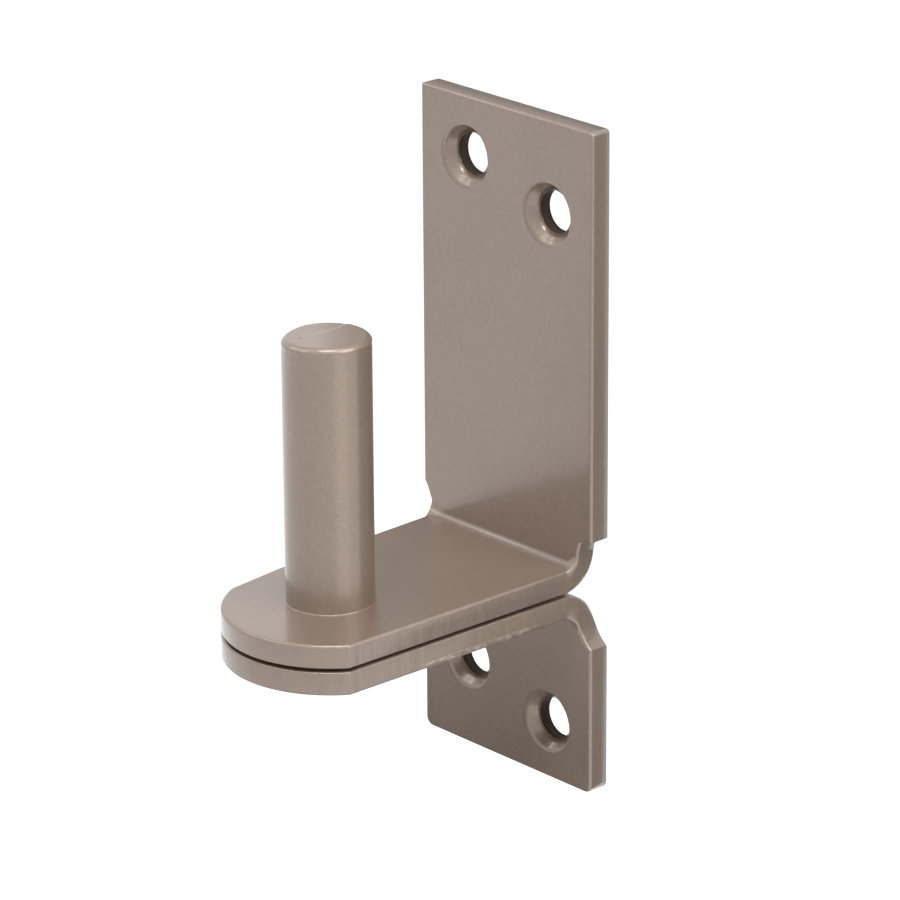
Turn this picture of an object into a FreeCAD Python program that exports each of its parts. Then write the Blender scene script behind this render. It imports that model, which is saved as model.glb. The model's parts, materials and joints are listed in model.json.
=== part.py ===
"""Plate-mounted pintle: two bent flat-steel brackets, back to back, that carry one upright pin.

The pin's axis is Z and the bearing face of the upper arm, on which a gate or shutter eye turns,
is Z = 0. The plates stand behind it with their backs on the wall at +Y, and the arms reach
towards -Y. All sizes are in millimetres.
"""
import FreeCAD
import Part
import math
import os

# Flat bar that both brackets are cut and folded from
plate_width = 40.0
steel_thickness = 4.0
bend_inner_radius = 2.5
edge_rounding = 0.5
outer_edge_bevel = 0.35

# Places of the plates and arms, measured from the pin's axis and the bearing face
axis_to_wall = 41.5
upper_plate_rise = 73.0
lower_plate_drop = 38.5
arm_gap = 0.4

# Relief that narrows the bar from the plate to the arm, running round the fold
relief_depth = 3.3
relief_above_bend = 2.5
relief_end_margin = 0.2
upper_left_relief_radius = 7.5
upper_right_relief_radius = 4.0
lower_relief_radius = 7.0
fold_bulge = 0.5

# Arm outline, seen from above
arm_reach = 18.6
foremost_point_shift = 1.7
right_corner_angle = 57.4
left_corner_angle = 65.0
left_taper_inset = 0.7
left_taper_end = 3.0

# Corners of the plates
top_corner_radius = 0.8
bottom_corner_radius = 1.5

# Countersunk screw holes, two in each plate, staggered
screw_hole_diameter = 7.0
countersink_diameter = 11.0
countersink_angle = 90.0
hole_side_margin = 10.4
hole_stagger = 5.4
top_hole_margin = 10.0
bottom_hole_margin = 9.7

# Pin and the spigot that rivets it through both arms
pin_diameter = 14.2
pin_height = 43.9
pin_rim_rounding = 0.8
spigot_diameter = 10.0
spigot_clearance = 0.05
rivet_head_diameter = 13.0
rivet_angle = 90.0

# Overhang of the cutting bodies past the faces that they cut, and stations along a curved cut
overcut = 5.0
slight_overcut = 1.0
fold_stations = 12

X_AXIS = FreeCAD.Vector(1, 0, 0)
Y_AXIS = FreeCAD.Vector(0, 1, 0)
Z_AXIS = FreeCAD.Vector(0, 0, 1)
RIGHT_ANGLE = math.pi / 2
SMOOTH_ANGLE = math.radians(8)
SAME_PLACE = 0.02

# Both brackets are drawn with the arm's inner face at Z = 0 and the plate going up.
half_plate = plate_width / 2
half_arm = half_plate - relief_depth
bend_outer_radius = bend_inner_radius + steel_thickness
plate_front = axis_to_wall - steel_thickness
fold_y = plate_front - bend_inner_radius
fold_z = bend_inner_radius
stack_depth = 2 * steel_thickness + arm_gap
lower_plate_rise = lower_plate_drop - stack_depth


def vec(x, y, z):
    return FreeCAD.Vector(x, y, z)


def line(start, end):
    return Part.LineSegment(start, end).toShape()


def arc(start, middle, end):
    return Part.Arc(start, middle, end).toShape()


def prism(edges, direction):
    """A closed outline pushed along a direction into a solid."""
    wire = Part.Wire(Part.__sortEdges__(edges))
    return Part.Face(wire).extrude(direction)


def fold_point(x, radius, turn):
    """A point of the fold: turn is 0 where the plate ends and a right angle where the arm begins."""
    return vec(x, fold_y + radius * math.cos(turn), fold_z - radius * math.sin(turn))


def folded_bar(plate_rise):
    """The bar with its one fold, as wide as the plate: an L section pushed along X."""
    left = -half_plate
    tip = -arm_reach - overcut
    inner = [fold_point(left, bend_inner_radius, turn) for turn in (0, RIGHT_ANGLE / 2, RIGHT_ANGLE)]
    outer = [fold_point(left, bend_outer_radius, turn) for turn in (0, RIGHT_ANGLE / 2, RIGHT_ANGLE)]
    front_top = vec(left, plate_front, plate_rise)
    back_top = vec(left, axis_to_wall, plate_rise)
    tip_top = vec(left, tip, 0)
    tip_bottom = vec(left, tip, -steel_thickness)
    edges = [
        arc(*inner),
        line(inner[0], front_top),
        line(front_top, back_top),
        line(back_top, outer[0]),
        arc(*outer),
        line(outer[2], tip_bottom),
        line(tip_bottom, tip_top),
        line(tip_top, inner[2]),
    ]
    return prism(edges, X_AXIS * plate_width)


def top_corner_cut(side, plate_rise, radius):
    """What the rounding of one free corner of the plate takes off."""
    front = plate_front - overcut
    start = vec(side * half_plate, front, plate_rise - radius)
    end = vec(side * (half_plate - radius), front, plate_rise)
    swing = radius * math.sin(RIGHT_ANGLE / 2)
    middle = vec(side * (half_plate - radius + swing), front, plate_rise - radius + swing)
    corner = vec(side * half_plate, front, plate_rise)
    edges = [
        arc(start, middle, end),
        line(end, corner),
        line(corner, start),
    ]
    return prism(edges, Y_AXIS * (steel_thickness + 2 * overcut))


def relief_that_fits(radius):
    """The relief's radius, or the largest that still runs out on the fold's inner face."""
    room = relief_above_bend + bend_inner_radius * RIGHT_ANGLE - relief_end_margin
    largest = (relief_depth ** 2 + room ** 2) / (2 * relief_depth)
    return min(radius, largest)


def relief_half_width(distance, radius):
    """Half the bar's width at a distance down from the relief's corner: a round cut that runs
    out smoothly on the arm's side."""
    swing = math.acos(1 - relief_depth / radius)
    to_go = radius * math.sin(swing) - distance
    if to_go <= 0:
        return half_arm
    return half_arm + radius - math.sqrt(radius ** 2 - to_go ** 2)


def fold_wall_point(turn, radius, side, at_inside):
    """A point of the relief's wall in the fold, on the inner or the outer face of the bar. The
    inner face is squeezed by the folding and swells a little past the outer one."""
    face_radius = bend_inner_radius if at_inside else bend_outer_radius
    half_width = relief_half_width(relief_above_bend + face_radius * turn, radius)
    if at_inside:
        half_width += fold_bulge * math.sin(2 * turn) ** 2
    return fold_point(side * half_width, face_radius, turn)


def fold_wall_curve(radius, side, at_inside):
    """The wall's edge, set off a little from the bar so that the cut passes right through."""
    points = []
    for station in range(fold_stations + 1):
        turn = RIGHT_ANGLE * station / fold_stations
        near = fold_wall_point(turn, radius, side, at_inside)
        far = fold_wall_point(turn, radius, side, not at_inside)
        points.append(near + (near - far) * (slight_overcut / steel_thickness))
    curve = Part.BSplineCurve()
    curve.interpolate(points)
    return curve.toShape()


def relief_cut(side, radius):
    """What one relief takes off: an arc through the plate, its run-out round the fold, and the
    straight side of the arm."""
    radius = relief_that_fits(radius)
    outward = X_AXIS * (side * 2 * relief_depth)
    front = plate_front - slight_overcut
    corner_z = fold_z + relief_above_bend
    wall = []
    for share in (0, 0.5, 1):
        distance = relief_above_bend * share
        wall.append(vec(side * relief_half_width(distance, radius), front, corner_z - distance))
    far_top = wall[0] + outward
    far_bottom = vec(far_top.x, front, fold_z)
    edges = [
        arc(*wall),
        line(wall[2], far_bottom),
        line(far_bottom, far_top),
        line(far_top, wall[0]),
    ]
    in_plate = prism(edges, Y_AXIS * (steel_thickness + 2 * slight_overcut))
    inside = fold_wall_curve(radius, side, True)
    outside = fold_wall_curve(radius, side, False)
    in_fold = Part.makeRuledSurface(inside, outside).extrude(outward)
    return in_plate.fuse(in_fold)


def arm_outline():
    """The arm seen from above: a straight right side, a left side that tapers in towards the
    front, and one arc between them. The arc's two corners are told by their angles from -Y."""
    right_turn = math.radians(right_corner_angle)
    left_turn = math.radians(left_corner_angle)
    radius = (half_arm - foremost_point_shift) / math.sin(right_turn)
    centre = vec(foremost_point_shift, radius - arm_reach, 0)
    right_corner = centre + vec(math.sin(right_turn), -math.cos(right_turn), 0) * radius
    left_corner = centre + vec(-math.sin(left_turn), -math.cos(left_turn), 0) * radius
    foremost = vec(foremost_point_shift, -arm_reach, 0)
    right_heel = vec(half_arm, fold_y, 0)
    left_taper = vec(left_taper_inset - half_arm, left_taper_end, 0)
    left_heel = vec(-half_arm, fold_y, 0)
    return [
        line(right_heel, right_corner),
        arc(right_corner, foremost, left_corner),
        line(left_corner, left_taper),
        line(left_taper, left_heel),
        line(left_heel, right_heel),
    ]


def screw_hole(x, z):
    """A through hole along Y with its countersink on the plate's front face."""
    sink_radius = countersink_diameter / 2
    hole_radius = screw_hole_diameter / 2
    slope = math.tan(math.radians(countersink_angle / 2))
    depth = (sink_radius - hole_radius) / slope
    start = vec(x, plate_front - slight_overcut, z)
    wide = sink_radius + slight_overcut * slope
    bore = Part.makeCylinder(hole_radius, steel_thickness + 2 * slight_overcut, start, Y_AXIS)
    sink = Part.makeCone(wide, hole_radius, depth + slight_overcut, start, Y_AXIS)
    return bore.fuse(sink)


def is_sharp(solid, edge):
    """Whether the two faces at an edge meet at an angle there."""
    middle = edge.valueAt((edge.FirstParameter + edge.LastParameter) / 2)
    normals = []
    for face in solid.ancestorsOfType(edge, Part.Face):
        u, v = face.Surface.parameter(middle)
        normals.append(face.normalAt(u, v))
    return len(normals) == 2 and normals[0].getAngle(normals[1]) > SMOOTH_ANGLE


def outer_face_distance(point):
    """How far a point lies from the face that is outermost at the fold: the plate's back, the
    fold's outside and the arm's face on the other bracket's side."""
    if point.y < fold_y:
        return abs(point.z + steel_thickness)
    if point.z > fold_z:
        return abs(point.y - axis_to_wall)
    return abs(math.hypot(point.y - fold_y, point.z - fold_z) - bend_outer_radius)


def on_outer_face(edge):
    span = edge.LastParameter - edge.FirstParameter
    stations = [edge.valueAt(edge.FirstParameter + share * span) for share in (0.1, 0.5, 0.9)]
    return all(outer_face_distance(point) < SAME_PLACE for point in stations)


def edges_broken(solid):
    """Rounds the sharp edges that show, and bevels those of the outer face, which lie against
    the wall and the other arm."""
    showing = [edge for edge in solid.Edges if is_sharp(solid, edge) and not on_outer_face(edge)]
    solid = solid.makeFillet(edge_rounding, showing)
    outer = [edge for edge in solid.Edges if is_sharp(solid, edge) and on_outer_face(edge)]
    return solid.makeChamfer(outer_edge_bevel, outer)


def bracket(plate_rise, corner_radius, left_relief, right_relief, holes):
    """One bracket with its arm's inner face at Z = 0 and its plate going up."""
    bar = folded_bar(plate_rise)
    arm = prism(arm_outline(), Z_AXIS * steel_thickness)
    arm.translate(vec(0, 0, -steel_thickness))
    arm_blank = Part.makeBox(plate_width, fold_y + arm_reach + overcut, steel_thickness,
                             vec(-half_plate, -arm_reach - overcut, -steel_thickness))
    bar = bar.cut(arm_blank.cut(arm))
    for side, relief in ((-1, left_relief), (1, right_relief)):
        bar = bar.cut(relief_cut(side, relief))
        bar = bar.cut(top_corner_cut(side, plate_rise, corner_radius))
    bar = edges_broken(bar.removeSplitter())
    for x, z in holes:
        bar = bar.cut(screw_hole(x, z))
    spigot_hole = Part.makeCylinder(spigot_diameter / 2 + spigot_clearance,
                                    steel_thickness + 2 * overcut,
                                    vec(0, 0, -steel_thickness - overcut), Z_AXIS)
    return bar.cut(spigot_hole)


def rivet_sink_depth():
    spread = rivet_head_diameter / 2 - spigot_diameter / 2 - spigot_clearance
    return spread / math.tan(math.radians(rivet_angle / 2))


def upper_bracket():
    side = half_plate - hole_side_margin
    near = upper_plate_rise - top_hole_margin
    holes = [(-side, near), (side, near - hole_stagger)]
    return bracket(upper_plate_rise, top_corner_radius, upper_left_relief_radius,
                   upper_right_relief_radius, holes)


def lower_bracket():
    """The same fold turned over: its plate goes down and its arm lies under the upper arm."""
    side = half_plate - hole_side_margin
    near = lower_plate_rise - bottom_hole_margin
    holes = [(side, near), (-side, near - hole_stagger)]
    solid = bracket(lower_plate_rise, bottom_corner_radius, lower_relief_radius,
                    lower_relief_radius, holes)
    solid = solid.mirror(vec(0, 0, 0), Z_AXIS)
    solid.translate(vec(0, 0, -stack_depth))
    sink = Part.makeCone(rivet_head_diameter / 2, spigot_diameter / 2 + spigot_clearance,
                         rivet_sink_depth(), vec(0, 0, -stack_depth), Z_AXIS)
    return solid.cut(sink)


def pintle_pin():
    """Round bar with a rounded rim, turned down to a spigot whose end is spread into its sink."""
    half = pin_diameter / 2
    spigot = spigot_diameter / 2
    sink_top = rivet_sink_depth() - stack_depth
    rim = pin_rim_rounding
    rim_swing = rim * math.sin(RIGHT_ANGLE / 2)
    outline = [
        vec(half, 0, pin_height - rim),
        vec(half, 0, 0),
        vec(spigot, 0, 0),
        vec(spigot, 0, sink_top),
        vec(spigot + spigot_clearance, 0, sink_top),
        vec(rivet_head_diameter / 2, 0, -stack_depth),
        vec(0, 0, -stack_depth),
        vec(0, 0, pin_height),
        vec(half - rim, 0, pin_height),
    ]
    edges = [line(start, end) for start, end in zip(outline, outline[1:])]
    crown = vec(half - rim + rim_swing, 0, pin_height - rim + rim_swing)
    edges.append(arc(outline[-1], crown, outline[0]))
    profile = Part.Face(Part.Wire(Part.__sortEdges__(edges)))
    return profile.revolve(vec(0, 0, 0), Z_AXIS, 360)


def main():
    os.makedirs("parts", exist_ok=True)
    pieces = {
        "upper_bracket": upper_bracket(),
        "lower_bracket": lower_bracket(),
        "pintle_pin": pintle_pin(),
    }
    for name, shape in pieces.items():
        if not shape.isValid() or len(shape.Solids) != 1:
            raise RuntimeError(name + " is not one valid solid")
        shape.Solids[0].exportStep("parts/" + name + ".step")
        print(name, "volume", round(shape.Volume, 1), "faces", len(shape.Faces))


main()
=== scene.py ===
import json
import math

import bmesh
import bpy
from mathutils import Matrix, Vector


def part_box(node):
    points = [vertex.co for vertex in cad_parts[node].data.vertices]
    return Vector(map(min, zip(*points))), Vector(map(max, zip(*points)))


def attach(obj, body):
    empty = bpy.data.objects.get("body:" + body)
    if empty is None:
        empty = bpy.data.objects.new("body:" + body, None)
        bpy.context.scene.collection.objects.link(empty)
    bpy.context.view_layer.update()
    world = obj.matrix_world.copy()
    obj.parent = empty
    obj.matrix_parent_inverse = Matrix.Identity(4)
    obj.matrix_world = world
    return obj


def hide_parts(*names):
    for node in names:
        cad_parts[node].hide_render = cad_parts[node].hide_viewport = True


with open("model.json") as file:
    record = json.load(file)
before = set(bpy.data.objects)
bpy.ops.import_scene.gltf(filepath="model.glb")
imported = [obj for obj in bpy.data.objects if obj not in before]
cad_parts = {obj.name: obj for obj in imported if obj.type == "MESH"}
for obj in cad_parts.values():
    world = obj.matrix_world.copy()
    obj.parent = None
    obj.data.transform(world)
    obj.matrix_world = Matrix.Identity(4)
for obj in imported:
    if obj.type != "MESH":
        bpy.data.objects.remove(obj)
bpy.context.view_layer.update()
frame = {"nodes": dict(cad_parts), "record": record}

# Upper bracket: a length of 40 x 4 mm flat steel bar, cut in at both sides and folded once. Its long plate
# goes up the wall, with two countersunk screw holes, and its arm reaches forward under the pin. The whole
# pintle is sprayed after it is riveted together, so one coat of fine metallic taupe paint softens every edge.
MM = 0.001
STEEL = 4 * MM
FOLD_CENTRE = Vector((0, 35 * MM, 2.5 * MM))
FOLD_RADIUS = 2.5 * MM
TIGHT_RADIUS = 0.8 * MM
# The fold is tight between the two inner cuts, and its curve widens to the full radius at the ends.
FOLD_CUTS = (-16.2 * MM, -14.5 * MM, 14.5 * MM, 16.2 * MM)
FOLD_ENDS = 16.7 * MM


def tighten_fold(place, arm_face, up):
    """Moves a point near the inside of the fold into a tighter curve. The fold's outside stays as it is."""
    across = place.y - FOLD_CENTRE.y
    down = FOLD_RADIUS - (place.z - arm_face) * up
    if across < 0 or down < 0 or across + down == 0:
        return place
    reach = math.hypot(across, down)
    share = max(0.0, 1 - max(0.0, reach - FOLD_RADIUS) / STEEL)
    share *= min(1.0, max(0.0, (FOLD_ENDS - abs(place.x)) / (FOLD_ENDS - FOLD_CUTS[-2])))
    spare = (FOLD_RADIUS - TIGHT_RADIUS) * share
    to_plate = spare * (1 - across / reach)
    to_arm = spare * (1 - down / reach)
    return Vector((place.x, place.y + to_plate, place.z - up * to_arm))


def ramp(value, low, high):
    """0 below the low value, 1 above the high one and a smooth curve between them."""
    part = min(1.0, max(0.0, (value - low) / (high - low)))
    return part * part * (3 - 2 * part)


HALF_PLATE = 20 * MM
# How far the left relief is filled, and where that begins, is full and ends along and across the arm.
LEFT_FILL = 0.9 * MM
LEFT_START = 28 * MM
LEFT_FULL = 36 * MM
LEFT_INNER = 12 * MM
LEFT_OUTER = 16.5 * MM
LEFT_EDGE = 17.2 * MM
LEFT_TOP = 6 * MM
HOLE_ROOM = 12 * MM


def fill_left_relief(place):
    """Moves a point of the left relief outwards, so that it runs into the arm in one curve."""
    share = ramp(place.y, LEFT_START, LEFT_FULL) * ramp(-place.x, LEFT_INNER, LEFT_OUTER)
    share *= 1 - max(ramp(-place.x, LEFT_EDGE, HALF_PLATE), ramp(place.z, LEFT_TOP, HOLE_ROOM))
    return Vector((place.x - LEFT_FILL * share, place.y, place.z))


PLATE_TOP = 73 * MM
CORNER_ROUND = 0.8 * MM
CORNER_SQUARENESS = 0.8


def square_corner(place):
    """Draws the rounding of the plate's top left corner out to a nearly square corner."""
    left = CORNER_ROUND - HALF_PLATE - place.x
    high = place.z - (PLATE_TOP - CORNER_ROUND)
    if left <= 0 or high <= 0:
        return place
    spread = CORNER_SQUARENESS * (math.hypot(left, high) / max(left, high) - 1)
    return Vector((place.x - left * spread, place.y, place.z + high * spread))


# The right relief's own arc, and how far out from it the change fades.
RIGHT_CENTRE = Vector((20.7 * MM, 0, 1.06 * MM))
RIGHT_RADIUS = 4 * MM
RIGHT_MARGIN = 0.4 * MM
RIGHT_FADE = 1.6 * MM
RIGHT_SQUARENESS = 0.45


def square_right_relief(place):
    """Draws the right relief out towards a squarer notch under the plate's corner."""
    inward = RIGHT_CENTRE.x - place.x
    high = place.z - RIGHT_CENTRE.z
    if inward <= 0 or high <= 0:
        return place
    reach = math.hypot(inward, high)
    share = 1 - ramp(reach, RIGHT_RADIUS + RIGHT_MARGIN, RIGHT_RADIUS + RIGHT_FADE)
    spread = RIGHT_SQUARENESS * share * (reach / max(inward, high) - 1)
    return Vector((place.x - inward * spread, place.y, place.z + high * spread))


def reshape_upper(place):
    """Moves a point of the upper bracket at its left relief, its top left corner or its right relief."""
    return square_right_relief(square_corner(fill_left_relief(place)))


BORE_REACH = 3.7 * MM
BORE_SLOPE = 0.3
SINK_REACH = 5.8 * MM
hole_spots = []
for mount in frame["record"]["mounts"]:
    if mount["kind"] == "bolt_pattern":
        half_spacing = mount["dims"]["spacing_y_mm"] * MM / 2
        side, height = mount["pos_m"][0], mount["pos_m"][2]
        hole_spots += [(side, height + half_spacing), (side, height - half_spacing)]


def near_hole(place, radius):
    """True within a radius of a screw hole's axis."""
    return any(math.hypot(place.x - x, place.z - z) < radius for x, z in hole_spots)


FLAT_AREA = 5 * MM ** 2
FACES_AXIS = 0.9999


def mark_flats(bm):
    """Marks the large faces of the plate and the arm, before they are divided into triangles."""
    flat = bm.faces.layers.int.new("flat")
    for face in bm.faces:
        on_plate = abs(face.normal.y) > FACES_AXIS
        before_fold = face.calc_center_median().y < FOLD_CENTRE.y + FOLD_RADIUS
        on_arm = abs(face.normal.z) > FACES_AXIS and before_fold
        face[flat] = face.calc_area() > FLAT_AREA and (on_plate or on_arm)
        face.smooth = True
    return flat


ARM_END = 31 * MM
WALL_SIDE = 16 * MM
WALL_TOP = 6.5 * MM
WALL_SOFTNESS = 0.25


def shading_normal(vert, flat):
    """How a point of the paint shades: as its flat does, or as the faces round it do on average.

    The wall of the upper bracket's right relief shades a little sideways, which softens its top.
    """
    crisp = near_hole(vert.co, SINK_REACH) or vert.co.y < ARM_END
    sides = [face for face in vert.link_faces if face[flat] or crisp]
    leading = [face for face in sides if face[flat]] or sides
    normal = sum((face.normal * face.calc_area() for face in leading), Vector())
    if not normal.length:
        normal = vert.normal.copy()
    in_relief = vert.co.x > WALL_SIDE and vert.co.y > FOLD_CENTRE.y and 0 < vert.co.z < WALL_TOP
    if in_relief and normal.z < 0:
        normal.z *= WALL_SOFTNESS
    return normal.normalized()


SAME_POINT = 0.0005 * MM
FLAT_ANGLE = math.radians(0.2)


def bracket_skin(node, arm_face, up, reshape=None):
    """The bracket's solid as one closed mesh. Each flat keeps its normal right up to its rounded edges."""
    bm = bmesh.new()
    bm.from_mesh(frame["nodes"][node].data)
    bmesh.ops.remove_doubles(bm, verts=bm.verts, dist=SAME_POINT)
    for cut in FOLD_CUTS:
        bmesh.ops.bisect_plane(bm, geom=[*bm.verts, *bm.edges, *bm.faces], plane_co=(cut, 0, 0),
                               plane_no=(1, 0, 0), dist=SAME_POINT)
    for vert in bm.verts:
        vert.co = tighten_fold(vert.co, arm_face, up)
        if reshape:
            vert.co = reshape(vert.co)
    bmesh.ops.dissolve_limit(bm, angle_limit=FLAT_ANGLE, verts=bm.verts, edges=bm.edges)
    flat = mark_flats(bm)
    bmesh.ops.triangulate(bm, faces=bm.faces)
    bm.normal_update()
    # The walls of the screw holes get the second material, the painted shade.
    for face in bm.faces:
        straight = abs(face.normal.y) < BORE_SLOPE
        face.material_index = int(straight and all(near_hole(vert.co, BORE_REACH) for vert in face.verts))
    normals = [shading_normal(vert, flat) for vert in bm.verts]
    mesh = bpy.data.meshes.new(node + "_skin")
    bm.to_mesh(mesh)
    bm.free()
    mesh.normals_split_custom_set_from_vertices(normals)
    piece = bpy.data.objects.new(node + "_skin", mesh)
    bpy.context.scene.collection.objects.link(piece)
    return piece


class Signal:
    """One output of a node. Sums, differences and products of signals add the Math nodes that they need."""

    def __init__(self, tree, socket=None):
        self.tree = tree
        self.socket = socket

    def node(self, kind, inputs=(), output=0, **settings):
        """Adds a node: its settings first, then the values or links of its sockets. Returns one output."""
        made = self.tree.nodes.new(kind)
        for name, value in settings.items():
            setattr(made, name, value)
        for key, value in dict(inputs).items():
            if isinstance(value, Signal):
                self.tree.links.new(value.socket, made.inputs[key])
            else:
                made.inputs[key].default_value = value
        return Signal(self.tree, made.outputs[output] if made.outputs else None)

    def maths(self, operation, *values):
        return self.node("ShaderNodeMath", enumerate(values), operation=operation)

    def __add__(self, other):
        return self.maths("ADD", self, other)

    def __radd__(self, other):
        return self.maths("ADD", other, self)

    def __sub__(self, other):
        return self.maths("SUBTRACT", self, other)

    def __rsub__(self, other):
        return self.maths("SUBTRACT", other, self)

    def __mul__(self, other):
        return self.maths("MULTIPLY", self, other)

    def __rmul__(self, other):
        return self.maths("MULTIPLY", other, self)


def empty_material(name):
    """A new material with no nodes, and the signal that its nodes are added from."""
    material = bpy.data.materials.new(name)
    material.use_nodes = True
    material.node_tree.nodes.clear()
    return material, Signal(material.node_tree)


TAUPE = (0.250, 0.188, 0.146, 1)
TAUPE_LIGHT = (0.370, 0.281, 0.221, 1)
PAINT_METAL = 0.4
PAINT_ROUGHNESS = 0.40
FLAKE_ROUGHNESS = 0.1
COAT_GLOSS = 1.0
COAT_ROUGHNESS = 0.15
NOISE_MIDDLE = 0.5
# Each grain is given by its scale per metre and its levels of detail.
CLOUDS = {"Scale": 90, "Detail": 3}
FLAKES = {"Scale": 2600, "Detail": 1}
PEEL = {"Scale": 900, "Detail": 2}
STREAKS = {"Scale": 620, "Detail": 2}
LUMPS = {"Scale": 420, "Detail": 1}
STREAK_STRETCH = (1, 1, 0.06)
CLOUD_TONE = 0.3
FLAKE_TONE = 0.8
PEEL_TONE = 0.4
# Heights of the grains in millimetres, before the noise scales them down.
PEEL_HEIGHT = 0.012
FLAKE_HEIGHT = 0.003
STREAK_HEIGHT = 0.15
LUMP_HEIGHT = 1.2
BUMP_STRENGTH = 1.0
# Where the streaks of the shear and the lumps along its lower edge begin and are full.
STREAKS_BELOW = (-0.2 * MM, -0.6 * MM)
STREAKS_AHEAD = (31 * MM, 27 * MM)
LUMPS_BELOW = (-7.2 * MM, -7.9 * MM)
LUMPS_RIGHT = (15.4 * MM, 16.2 * MM)
LUMPS_BEHIND = (3 * MM, 9 * MM)
# How much of the gloss a sheared face soaks up.
THIN_ACROSS = (-2 * MM, 2 * MM)
THIN_LEAST = 0.15
THIN_MORE = 0.45
THIN_PATCHES = 0.5
THIN_BLEND = 0.2 * MM


def painted_steel(name, start, sheared_top=None):
    """Semi-gloss metallic paint: clouds and flakes in the colour, orange peel and grain in the surface.

    The start moves the pattern, so that no two pieces share it. A sheared top is given by its height and the
    direction across it in which the gloss gets thinner.
    """
    material, paint = empty_material(name)
    place = paint.node("ShaderNodeTexCoord", output="Object")
    spot = paint.node("ShaderNodeMapping", {"Vector": place, "Location": (start, 0, 0)})
    stretched = paint.node("ShaderNodeMapping", {"Vector": place, "Scale": STREAK_STRETCH})

    def noise(where, grain):
        return paint.node("ShaderNodeTexNoise", {"Vector": where, **grain})

    def axis(letter):
        return paint.node("ShaderNodeSeparateXYZ", {"Vector": place}, output=letter)

    def fade(value, limits):
        low, high = limits
        return paint.node("ShaderNodeMapRange", {"Value": value, "From Min": low, "From Max": high},
                          interpolation_type="SMOOTHSTEP")

    clouds = noise(spot, CLOUDS) - NOISE_MIDDLE
    flakes = noise(spot, FLAKES)
    peel = noise(spot, PEEL)
    tone = clouds * CLOUD_TONE + (flakes - NOISE_MIDDLE) * FLAKE_TONE + (peel - NOISE_MIDDLE) * PEEL_TONE
    colour = paint.node("ShaderNodeMix", {"Factor": NOISE_MIDDLE + tone, "A": TAUPE, "B": TAUPE_LIGHT},
                        output="Result", data_type="RGBA")
    on_arm = fade(axis("Z"), STREAKS_BELOW) * fade(axis("Y"), STREAKS_AHEAD)
    at_edge = fade(axis("Z"), LUMPS_BELOW) * fade(axis("X"), LUMPS_RIGHT) * fade(axis("Y"), LUMPS_BEHIND)
    cut = noise(stretched, STREAKS) * STREAK_HEIGHT + at_edge * noise(spot, LUMPS) * LUMP_HEIGHT
    height = peel * PEEL_HEIGHT + flakes * FLAKE_HEIGHT + on_arm * cut
    bump = paint.node("ShaderNodeBump", {"Height": height, "Distance": MM, "Strength": BUMP_STRENGTH})
    gloss = COAT_GLOSS
    if sheared_top:
        top, direction = sheared_top
        across = axis("X") * direction.x + axis("Y") * direction.y
        thin = fade(across, THIN_ACROSS) * THIN_MORE + THIN_LEAST + (peel - NOISE_MIDDLE) * THIN_PATCHES
        gloss = COAT_GLOSS - fade(axis("Z"), (top - THIN_BLEND, top)) * thin
    shader = paint.node("ShaderNodeBsdfPrincipled", {
        "Base Color": colour, "Metallic": PAINT_METAL, "Normal": bump,
        "Roughness": PAINT_ROUGHNESS + (flakes - NOISE_MIDDLE) * FLAKE_ROUGHNESS,
        "Coat Weight": gloss, "Coat Roughness": COAT_ROUGHNESS})
    paint.node("ShaderNodeOutputMaterial", {"Surface": shader})
    return material


# Painted shade: the bore walls are coloured dark for the unlit inside of the screw holes.
BORE_SHADE_DEEP = (0.060, 0.042, 0.029, 1)
BORE_SHADE_PALE = (0.100, 0.072, 0.052, 1)
SPECKS = {"Scale": 1500, "Detail": 2}
BORE_ROUGHNESS = 0.7
BORE_SHEEN = 0.1


def bore_paint():
    """Painted shade on a bore's wall: a dark, dull paint that stands in for the shade inside the hole."""
    material, paint = empty_material("bore_paint")
    place = paint.node("ShaderNodeTexCoord", output="Object")
    specks = paint.node("ShaderNodeTexNoise", {"Vector": place, **SPECKS})
    colour = paint.node("ShaderNodeMix", {"Factor": specks, "A": BORE_SHADE_DEEP, "B": BORE_SHADE_PALE},
                        output="Result", data_type="RGBA")
    shader = paint.node("ShaderNodeBsdfPrincipled", {
        "Base Color": colour, "Roughness": BORE_ROUGHNESS, "Specular IOR Level": BORE_SHEEN})
    paint.node("ShaderNodeOutputMaterial", {"Surface": shader})
    return material


UPPER_ARM_FACE = 0.0
UPPER_PATTERN = 0.0
inside_bores = bore_paint()
upper = bracket_skin("upper_bracket", UPPER_ARM_FACE, 1, reshape_upper)
upper.data.materials.append(painted_steel("upper_bracket_paint", UPPER_PATTERN))
upper.data.materials.append(inside_bores)
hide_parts("upper_bracket")
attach(upper, "root")

# Lower bracket: the same bar folded the other way, with a shorter plate that goes down the wall and two more
# countersunk holes. Its arm lies under the upper one and is riveted to it, with a narrow dark gap between.
LOWER_ARM_FACE = -8.4 * MM
LOWER_PATTERN = 0.3
lower = bracket_skin("lower_bracket", LOWER_ARM_FACE, -1)
lower.data.materials.append(painted_steel("lower_bracket_paint", LOWER_PATTERN))
lower.data.materials.append(inside_bores)
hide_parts("lower_bracket")
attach(lower, "root")

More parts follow.
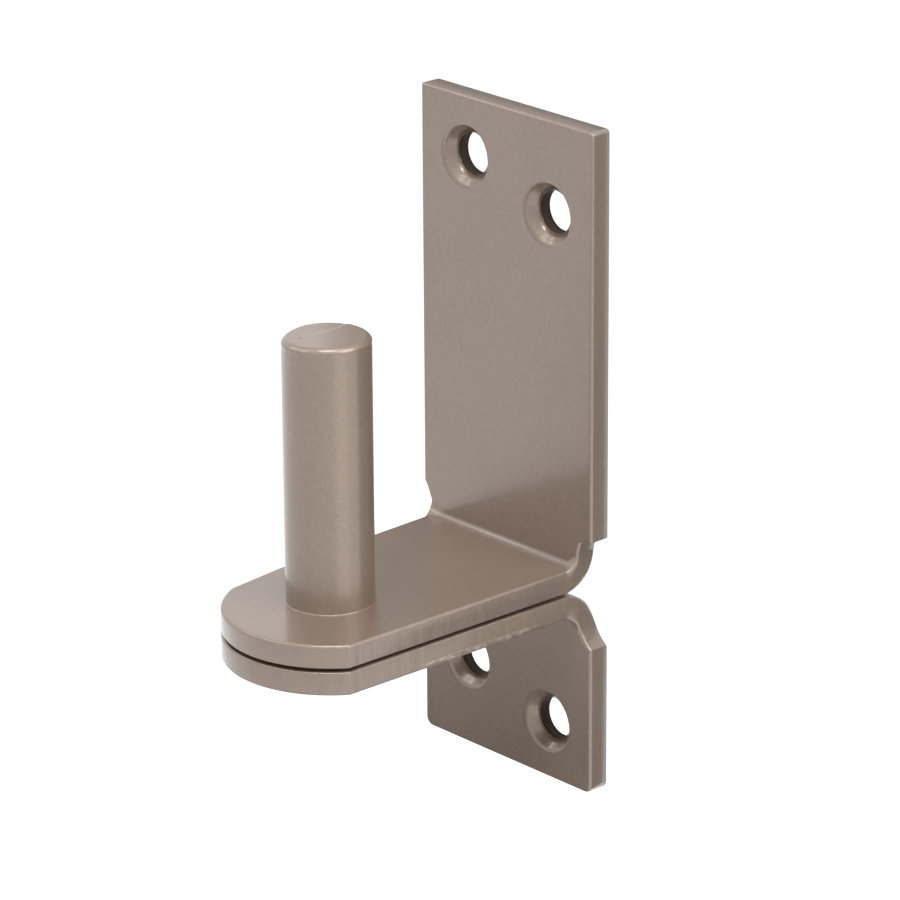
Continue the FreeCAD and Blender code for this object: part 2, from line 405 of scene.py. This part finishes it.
# Pintle pin: a 14 mm round bar, sheared to length, so its top is a little uneven inside a worn, rounded rim.
# Its turned-down spigot goes through both arms and is spread into the sink under the lower one.
# The sprayed paint fills the corner round its foot with a thin ring.
pin_low, pin_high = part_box("pintle_pin")
PIN_RADIUS = pin_high.x
PIN_TOP = pin_high.z
RIVET_BOTTOM = pin_low.z
PIN_RIM = 0.8 * MM
RIM_FLATNESS = 0.5
SPIGOT_RADIUS = 5 * MM
RIVET_HEAD_RADIUS = 6.5 * MM
PAINT_RING = 0.2 * MM
TOP_RINGS = 24
ROUND_STEPS = 8
QUARTER_TURN = math.pi / 2
BURR_DEPTH = 0.05 * MM
BURR_HEIGHTS = (0.2 * MM, 0.4 * MM, 0.7 * MM, 1.2 * MM, 2.0 * MM)
BURR_SHARES = (0.7, 1.0, 0.8, 0.35, 0.0)


def pin_profile():
    """Half of the pin's section, from the middle of its top to the middle of the rivet's face."""
    flat = PIN_RADIUS - PIN_RIM
    points = [(flat * ring / TOP_RINGS, PIN_TOP) for ring in range(TOP_RINGS)]
    for step in range(ROUND_STEPS + 1):
        part = step / ROUND_STEPS
        out = part * RIM_FLATNESS + math.sin(QUARTER_TURN * part) * (1 - RIM_FLATNESS)
        drop = part * RIM_FLATNESS + (1 - math.cos(QUARTER_TURN * part)) * (1 - RIM_FLATNESS)
        points.append((flat + PIN_RIM * out, PIN_TOP - PIN_RIM * drop))
    for drop, share in zip(BURR_HEIGHTS, BURR_SHARES):
        points.append((PIN_RADIUS - BURR_DEPTH * share, PIN_TOP - PIN_RIM - drop))
    for step in range(ROUND_STEPS + 1):
        turn = QUARTER_TURN * step / ROUND_STEPS
        points.append((PIN_RADIUS + PAINT_RING * (1 - math.cos(turn)), PAINT_RING * (1 - math.sin(turn))))
    points.append((SPIGOT_RADIUS, 0))
    points.append((SPIGOT_RADIUS, RIVET_BOTTOM + RIVET_HEAD_RADIUS - SPIGOT_RADIUS))
    points.append((RIVET_HEAD_RADIUS, RIVET_BOTTOM))
    points.append((RIVET_HEAD_RADIUS - PAINT_RING, RIVET_BOTTOM))
    points.append((0, RIVET_BOTTOM))
    return points


SHEAR_RIGHT = Vector((0.666, 0.746))
SHEAR_REACH = 4 * MM
SHEAR_DIP = 0.3 * MM
STEP_START = 1.7 * MM
STEP_SLOPE = 0.75
STEP_BEND = 0.12 / MM
STEP_DEPTH = 0.10 * MM
STEP_WIDTH = 0.9 * MM
STEP_FADE = 0.6
PIT_SPOT = Vector((-3.8 * MM, -1.1 * MM))
PIT_RADIUS = 0.55 * MM
PIT_DEPTH = 0.12 * MM


def sheared(place):
    """Lowers a point near the pin's top: the shear left a step across the face, and one side dips."""
    right = place.x * SHEAR_RIGHT.x + place.y * SHEAR_RIGHT.y
    away = place.y * SHEAR_RIGHT.x - place.x * SHEAR_RIGHT.y
    share = ramp(place.z, PIN_TOP - SHEAR_REACH, PIN_TOP - PIN_RIM)
    dip = SHEAR_DIP * ramp(-right, 0, PIN_RADIUS)
    crease = STEP_START + right * STEP_SLOPE + right * right * STEP_BEND
    step = STEP_DEPTH * ramp(away - crease, 0, STEP_WIDTH) * ramp(right, -PIN_RADIUS * STEP_FADE, 0)
    pit = math.hypot(right - PIT_SPOT.x, away - PIT_SPOT.y)
    hollow = PIT_DEPTH * (1 - ramp(pit, 0, PIT_RADIUS))
    return place - Vector((0, 0, (dip + step + hollow) * share))


def lathe():
    """Turns the object's own curve about the Z axis and closes the two ends."""
    tree = bpy.data.node_groups.new("pin_lathe", "GeometryNodeTree")
    tree.is_modifier = True
    sockets = tree.interface
    sockets.new_socket("Profile", in_out="INPUT", socket_type="NodeSocketGeometry")
    sockets.new_socket("Steps round", in_out="INPUT", socket_type="NodeSocketInt")
    sockets.new_socket("Radius", in_out="INPUT", socket_type="NodeSocketFloat")
    sockets.new_socket("Paint", in_out="INPUT", socket_type="NodeSocketMaterial")
    sockets.new_socket("Pin", in_out="OUTPUT", socket_type="NodeSocketGeometry")
    work = Signal(tree)
    given = tree.nodes.new("NodeGroupInput")
    profile, steps, radius, paint = [Signal(tree, given.outputs[name])
                                     for name in ("Profile", "Steps round", "Radius", "Paint")]
    circle = work.node("GeometryNodeCurvePrimitiveCircle", {"Resolution": steps, "Radius": radius})
    turned = work.node("GeometryNodeCurveToMesh", {"Curve": circle, "Profile Curve": profile})
    closed = work.node("GeometryNodeMergeByDistance", {"Geometry": turned, "Distance": SAME_POINT})
    realized = work.node("GeometryNodeRealizeInstances", {"Geometry": closed})
    painted = work.node("GeometryNodeSetMaterial", {"Geometry": realized, "Material": paint})
    work.node("NodeGroupOutput", {"Pin": painted})
    return tree


def set_inputs(modifier, values):
    """Gives a modifier its named inputs, by the identifiers of their sockets."""
    for item in modifier.node_group.interface.items_tree:
        if item.in_out == "INPUT" and item.name in values:
            modifier[item.identifier] = values[item.name]


def plain_mesh(worker, name):
    """The evaluated object as a plain mesh object, after which the worker is deleted."""
    bpy.context.view_layer.update()
    evaluated = worker.evaluated_get(bpy.context.evaluated_depsgraph_get())
    mesh = bpy.data.meshes.new_from_object(evaluated)
    bpy.data.objects.remove(worker)
    mesh.name = name
    piece = bpy.data.objects.new(name, mesh)
    bpy.context.scene.collection.objects.link(piece)
    return piece


LATHE_STEPS = 160
PIN_PATTERN = 0.6
WORN_BELOW_TOP = 0.4 * MM
section = bpy.data.curves.new("pin_section", "CURVE")
section.dimensions = "3D"
spline = section.splines.new("POLY")
outline = pin_profile()
spline.points.add(len(outline) - 1)
for point, (radius, height) in zip(spline.points, outline):
    point.co = (radius - PIN_RADIUS, -height, 0, 1)
turning = bpy.data.objects.new("pin_section", section)
bpy.context.scene.collection.objects.link(turning)
modifier = turning.modifiers.new("lathe", "NODES")
modifier.node_group = lathe()
pin_paint = painted_steel("pin_paint", PIN_PATTERN, (PIN_TOP - WORN_BELOW_TOP, SHEAR_RIGHT))
set_inputs(modifier, {"Steps round": LATHE_STEPS, "Radius": PIN_RADIUS, "Paint": pin_paint})
pin = plain_mesh(turning, "pintle_pin_skin")
for vert in pin.data.vertices:
    vert.co = sheared(vert.co)
for face in pin.data.polygons:
    face.use_smooth = True
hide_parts("pintle_pin")
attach(pin, "root")

# Studio: a pale floor well below the pintle, which is made to hang on a wall, in an even white room.
# Three matt flags that the camera doesn't see give the gloss something grey to reflect, all painted shade:
# the foot flag is a painted shadow for the shade of a table close under the pintle, and the side and back
# flags stand in for darker surroundings in the reflections.
FLOOR_DROP = 0.30
FLOOR_HALF = 1.5
FLOOR_GREY = (0.85, 0.85, 0.85, 1)
FLOOR_GLOW = 0.75
WHITE = (1, 1, 1, 1)


def seen_rays(signal):
    """1 for what the camera sees straight on or in a gloss, and 0 for what only gives light."""
    rays = signal.node("ShaderNodeLightPath").socket.node
    seen = Signal(signal.tree, rays.outputs["Is Camera Ray"])
    for kind in ("Is Glossy Ray", "Is Transmission Ray"):
        seen = signal.maths("MAXIMUM", seen, Signal(signal.tree, rays.outputs[kind]))
    return seen


def stage_sheet(name, corners, colour, glow):
    """A flat stage piece in a matt colour. Its glow lifts what is seen of it to white, and keeps shadows."""
    mesh = bpy.data.meshes.new(name)
    mesh.from_pydata(corners, [], [range(len(corners))])
    sheet = bpy.data.objects.new(name, mesh)
    bpy.context.scene.collection.objects.link(sheet)
    material, cloth = empty_material(name)
    matt = cloth.node("ShaderNodeBsdfDiffuse", {"Color": colour})
    lift = cloth.node("ShaderNodeEmission", {"Color": WHITE, "Strength": seen_rays(cloth) * glow})
    both = cloth.node("ShaderNodeAddShader", {0: matt, 1: lift})
    cloth.node("ShaderNodeOutputMaterial", {"Surface": both})
    mesh.materials.append(material)
    return sheet


def level_corners(low, high, height):
    """The corners of a level rectangle between two places on the ground, raised to a height."""
    return [(low[0], low[1], height), (high[0], low[1], height), (high[0], high[1], height),
            (low[0], high[1], height)]


def upright_corners(start, end, bottom, top):
    """The corners of an upright rectangle over a line on the ground."""
    return [(*start, bottom), (*end, bottom), (*end, top), (*start, top)]


stage_sheet("floor", level_corners((-FLOOR_HALF, -FLOOR_HALF), (FLOOR_HALF, FLOOR_HALF), -FLOOR_DROP),
            FLOOR_GREY, FLOOR_GLOW)
# Painted shadow and shade: the foot grey stands for a shaded table under the pintle, the side and back greys
# for darker surroundings.
FOOT_SHADOW_GREY = (0.60, 0.59, 0.58, 1)
SIDE_GREY = (0.74, 0.72, 0.68, 1)
BACK_GREY = (0.38, 0.36, 0.34, 1)
foot_shadow_corners = level_corners(low=(-0.08, -0.04), high=(0.02, 0.045), height=-0.05)
side_corners = upright_corners(start=(0.08, 0.065), end=(0.08, 0.35), bottom=-0.25, top=0.10)
back_corners = upright_corners(start=(-0.0895, 0.0799), end=(-0.0429, 0.1321), bottom=0.0, top=0.12)
for name, corners, grey in (("foot_flag", foot_shadow_corners, FOOT_SHADOW_GREY), ("side_flag", side_corners, SIDE_GREY),
                            ("back_flag", back_corners, BACK_GREY)):
    flag = stage_sheet(name, corners, grey, glow=0)
    flag.visible_camera = False

ROOM_LIGHT = 0.33
world = bpy.data.worlds.new("white_room")
bpy.context.scene.world = world
world.use_nodes = True
world.node_tree.nodes.clear()
room = Signal(world.node_tree)
brightness = ROOM_LIGHT + seen_rays(room) * (1 - ROOM_LIGHT)
light = room.node("ShaderNodeBackground", {"Color": WHITE, "Strength": brightness})
room.node("ShaderNodeOutputWorld", {"Surface": light})

LAMP_DISTANCE = 0.9


def softbox(name, azimuth, elevation, width, height, power):
    """A white lamp that faces the pintle, from an azimuth in degrees: 0 is in front and 90 at the right."""
    lamp = bpy.data.lights.new(name, "AREA")
    lamp.shape = "RECTANGLE"
    lamp.size = width
    lamp.size_y = height
    lamp.energy = power
    holder = bpy.data.objects.new(name, lamp)
    bpy.context.scene.collection.objects.link(holder)
    turn, lift = math.radians(azimuth), math.radians(elevation)
    way = Vector((math.sin(turn) * math.cos(lift), -math.cos(turn) * math.cos(lift), math.sin(lift)))
    holder.location = way * LAMP_DISTANCE
    holder.rotation_euler = way.to_track_quat("Z", "Y").to_euler()
    holder.visible_camera = False


softbox("key", azimuth=-33, elevation=50, width=0.3, height=0.35, power=0.7)
softbox("fold_light", azimuth=-64, elevation=39, width=0.22, height=0.22, power=0.4)
softbox("overhead", azimuth=52, elevation=71, width=0.45, height=0.2, power=3.0)
softbox("right_top", azimuth=110, elevation=45, width=0.5, height=0.5, power=3.4)
softbox("front", azimuth=20, elevation=10, width=0.5, height=0.5, power=0.15)
softbox("side_strip", azimuth=84, elevation=-10, width=0.5, height=0.5, power=0.42)

# Camera: a long lens a little above and to the right, a trifle out of level as in the photograph.
# Its lens is set so that the photograph's frame width fits the view.
CAMERA_AZIMUTH = math.radians(48.253)
CAMERA_HEIGHT = math.radians(20.035)
CAMERA_ROLL = math.radians(-0.370)
CAMERA_DISTANCE = 0.760
CAMERA_TARGET = Vector((0.01426, 0.01272, 0.02564))
LENS_PIXELS = 4893.0
PHOTO_PIXELS = 900
SENSOR_WIDTH = 36
NEAREST_SEEN = 0.05
camera_data = bpy.data.cameras.new("camera")
camera_data.sensor_width = SENSOR_WIDTH
camera_data.lens = LENS_PIXELS / PHOTO_PIXELS * SENSOR_WIDTH
camera_data.clip_start = NEAREST_SEEN
camera = bpy.data.objects.new("camera", camera_data)
bpy.context.scene.collection.objects.link(camera)
back = Vector((math.sin(CAMERA_AZIMUTH) * math.cos(CAMERA_HEIGHT),
               -math.cos(CAMERA_AZIMUTH) * math.cos(CAMERA_HEIGHT), math.sin(CAMERA_HEIGHT)))
camera.rotation_mode = "QUATERNION"
camera.location = CAMERA_TARGET + back * CAMERA_DISTANCE
level = (-back).to_track_quat("-Z", "Y")
camera.rotation_quaternion = level @ Matrix.Rotation(CAMERA_ROLL, 3, "Z").to_quaternion()
bpy.context.scene.camera = camera
bpy.context.scene.view_settings.view_transform = "Standard"
